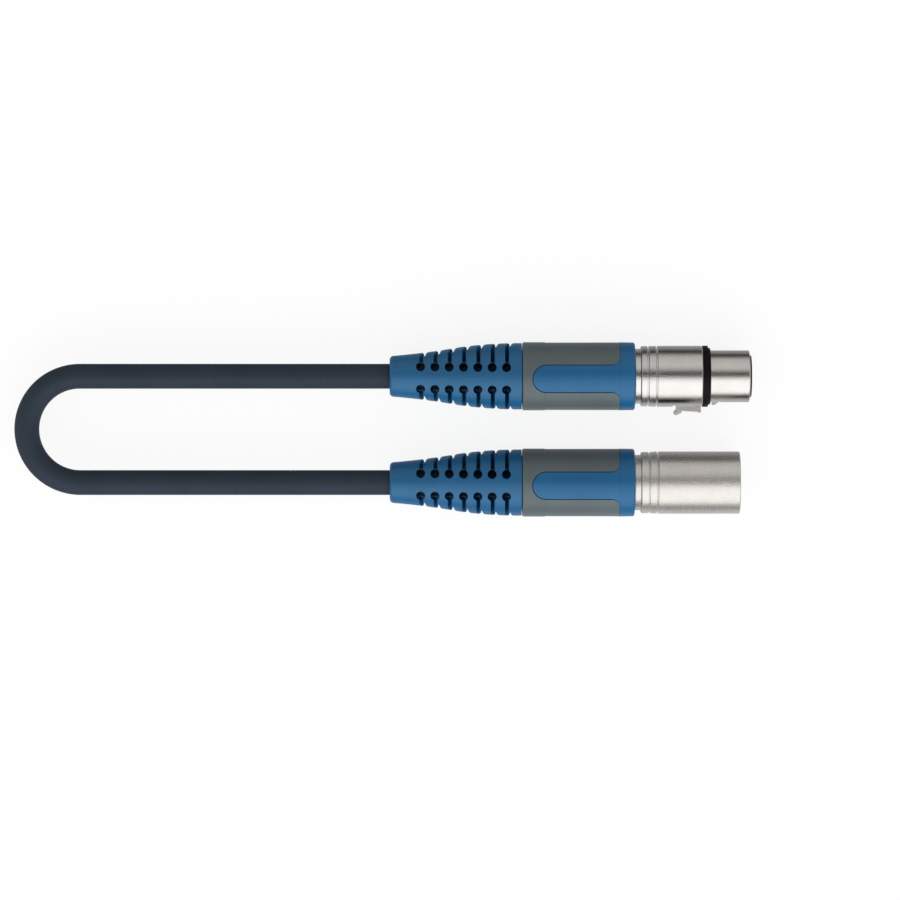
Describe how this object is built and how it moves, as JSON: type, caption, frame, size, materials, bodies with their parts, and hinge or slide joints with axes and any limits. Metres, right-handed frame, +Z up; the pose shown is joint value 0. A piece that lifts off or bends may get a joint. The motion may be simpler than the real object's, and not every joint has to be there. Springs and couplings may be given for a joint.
{
  "type": "microphone cable",
  "caption": "Microphone cable in a flat U with a socket plug and a pin plug: flared slotted boots, grip sleeves, gland nuts and metal shells with a push latch.",
  "frame": {"origin": "on the floor under the middle of the overall box, halfway between the two plug axes", "axes": "+Z up; both plugs point along +X, the socket plug at +Y and the pin plug at -Y"},
  "size_m": [0.2249, 0.0534, 0.0208],
  "materials": {
    "shell_nickel": "satin nickel plate",
    "latch_steel": "satin nickel plate",
    "spring_steel": "bright wire",
    "contact_plate": "silver plate",
    "insert_black": "fine matt",
    "clamp_grey": "matt",
    "seal_black": "matt",
    "sleeve_grey": "satin",
    "nut_blue": "satin",
    "boot_blue": "satin",
    "jacket_slate": "satin",
    "screen_copper": "braided",
    "core_red": "satin",
    "core_white": "satin",
    "drain_sleeve": "satin"
  },
  "bodies": {
    "bend_middle": {"jacket_middle": "jacket_slate", "screen_middle": "screen_copper", "hot_core_middle": "core_red", "cold_core_middle": "core_white"},
    "female_bend": {"jacket_female_bend": "jacket_slate", "screen_female_bend": "screen_copper", "hot_core_female_bend": "core_red", "cold_core_female_bend": "core_white"},
    "female_run": {"jacket_female_run": "jacket_slate", "screen_female_run": "screen_copper", "hot_core_female_run": "core_red", "cold_core_female_run": "core_white"},
    "female_plug": {"jacket_female_plug": "jacket_slate", "screen_female_plug": "screen_copper", "hot_core_female_plug": "core_red", "cold_core_female_plug": "core_white", "female_shell": "shell_nickel", "female_insert": "insert_black", "female_lead_hot": "core_red", "female_lead_cold": "core_white", "female_lead_screen": "drain_sleeve", "female_seal_ring": "seal_black", "female_latch_pin": "spring_steel", "female_latch_spring": "spring_steel", "female_socket_1": "contact_plate", "female_socket_2": "contact_plate", "female_socket_3": "contact_plate"},
    "female_clamp": {"female_cable_clamp": "clamp_grey"},
    "female_gland": {"female_gland_nut": "nut_blue", "female_grip_sleeve": "sleeve_grey", "female_boot": "boot_blue"},
    "male_bend": {"jacket_male_bend": "jacket_slate", "screen_male_bend": "screen_copper", "hot_core_male_bend": "core_red", "cold_core_male_bend": "core_white"},
    "male_run": {"jacket_male_run": "jacket_slate", "screen_male_run": "screen_copper", "hot_core_male_run": "core_red", "cold_core_male_run": "core_white"},
    "male_plug": {"jacket_male_plug": "jacket_slate", "screen_male_plug": "screen_copper", "hot_core_male_plug": "core_red", "cold_core_male_plug": "core_white", "male_shell": "shell_nickel", "male_insert": "insert_black", "male_lead_hot": "core_red", "male_lead_cold": "core_white", "male_lead_screen": "drain_sleeve", "male_pin_1": "contact_plate", "male_pin_2": "contact_plate", "male_pin_3": "contact_plate"},
    "male_clamp": {"male_cable_clamp": "clamp_grey"},
    "male_gland": {"male_gland_nut": "nut_blue", "male_grip_sleeve": "sleeve_grey", "male_boot": "boot_blue"},
    "female_push_latch": {"female_latch": "latch_steel"}
  },
  "joints": [
    {"name": "female_bend_1", "type": "hinge", "parent": "bend_middle", "child": "female_bend", "pos_m": [-0.10741, 0.00624, 0.0104], "axis": [0, 0, 1], "range_deg": [0, 15]},
    {"name": "female_bend_2", "type": "hinge", "parent": "female_bend", "child": "female_run", "pos_m": [-0.09859, 0.01506, 0.0104], "axis": [0, 0, 1], "range_deg": [0, 15.01]},
    {"name": "female_lift", "type": "hinge", "parent": "female_run", "child": "female_plug", "pos_m": [-0.044, 0.0163, 0.0104], "axis": [0, -1, 0], "range_deg": [0, 30]},
    {"name": "female_gland_slide", "type": "slide", "parent": "female_plug", "child": "female_clamp", "axis": [-1, 0, 0], "range_m": [0, 0.00801]},
    {"name": "female_gland_turn", "type": "hinge", "parent": "female_clamp", "child": "female_gland", "pos_m": [0.0622, 0.0163, 0.0104], "axis": [-1, 0, 0], "range_deg": [0, 2880]},
    {"name": "male_bend_1", "type": "hinge", "parent": "bend_middle", "child": "male_bend", "pos_m": [-0.10741, -0.00624, 0.0104], "axis": [0, 0, -1], "range_deg": [0, 15]},
    {"name": "male_bend_2", "type": "hinge", "parent": "male_bend", "child": "male_run", "pos_m": [-0.09859, -0.01506, 0.0104], "axis": [0, 0, -1], "range_deg": [0, 15.01]},
    {"name": "male_lift", "type": "hinge", "parent": "male_run", "child": "male_plug", "pos_m": [-0.044, -0.0163, 0.0104], "axis": [0, -1, 0], "range_deg": [0, 30]},
    {"name": "male_gland_slide", "type": "slide", "parent": "male_plug", "child": "male_clamp", "axis": [-1, 0, 0], "range_m": [0, 0.00801]},
    {"name": "male_gland_turn", "type": "hinge", "parent": "male_clamp", "child": "male_gland", "pos_m": [0.0622, -0.0163, 0.0104], "axis": [-1, 0, 0], "range_deg": [0, 2880]},
    {"name": "female_latch_press", "type": "hinge", "parent": "female_plug", "child": "female_push_latch", "pos_m": [0.0872, 0.0117, 0.0104], "axis": [0, 0, 1], "range_deg": [0, 4], "deforming": ["female_latch_spring"]}
  ],
  "couplings": [
    {"joint": "female_bend_2", "follows": "female_bend_1", "ratio": 1},
    {"joint": "female_gland_slide", "follows": "female_gland_turn", "m_per_rad": 0.00015915},
    {"joint": "male_bend_2", "follows": "male_bend_1", "ratio": 1},
    {"joint": "male_gland_slide", "follows": "male_gland_turn", "m_per_rad": 0.00015915}
  ]
}
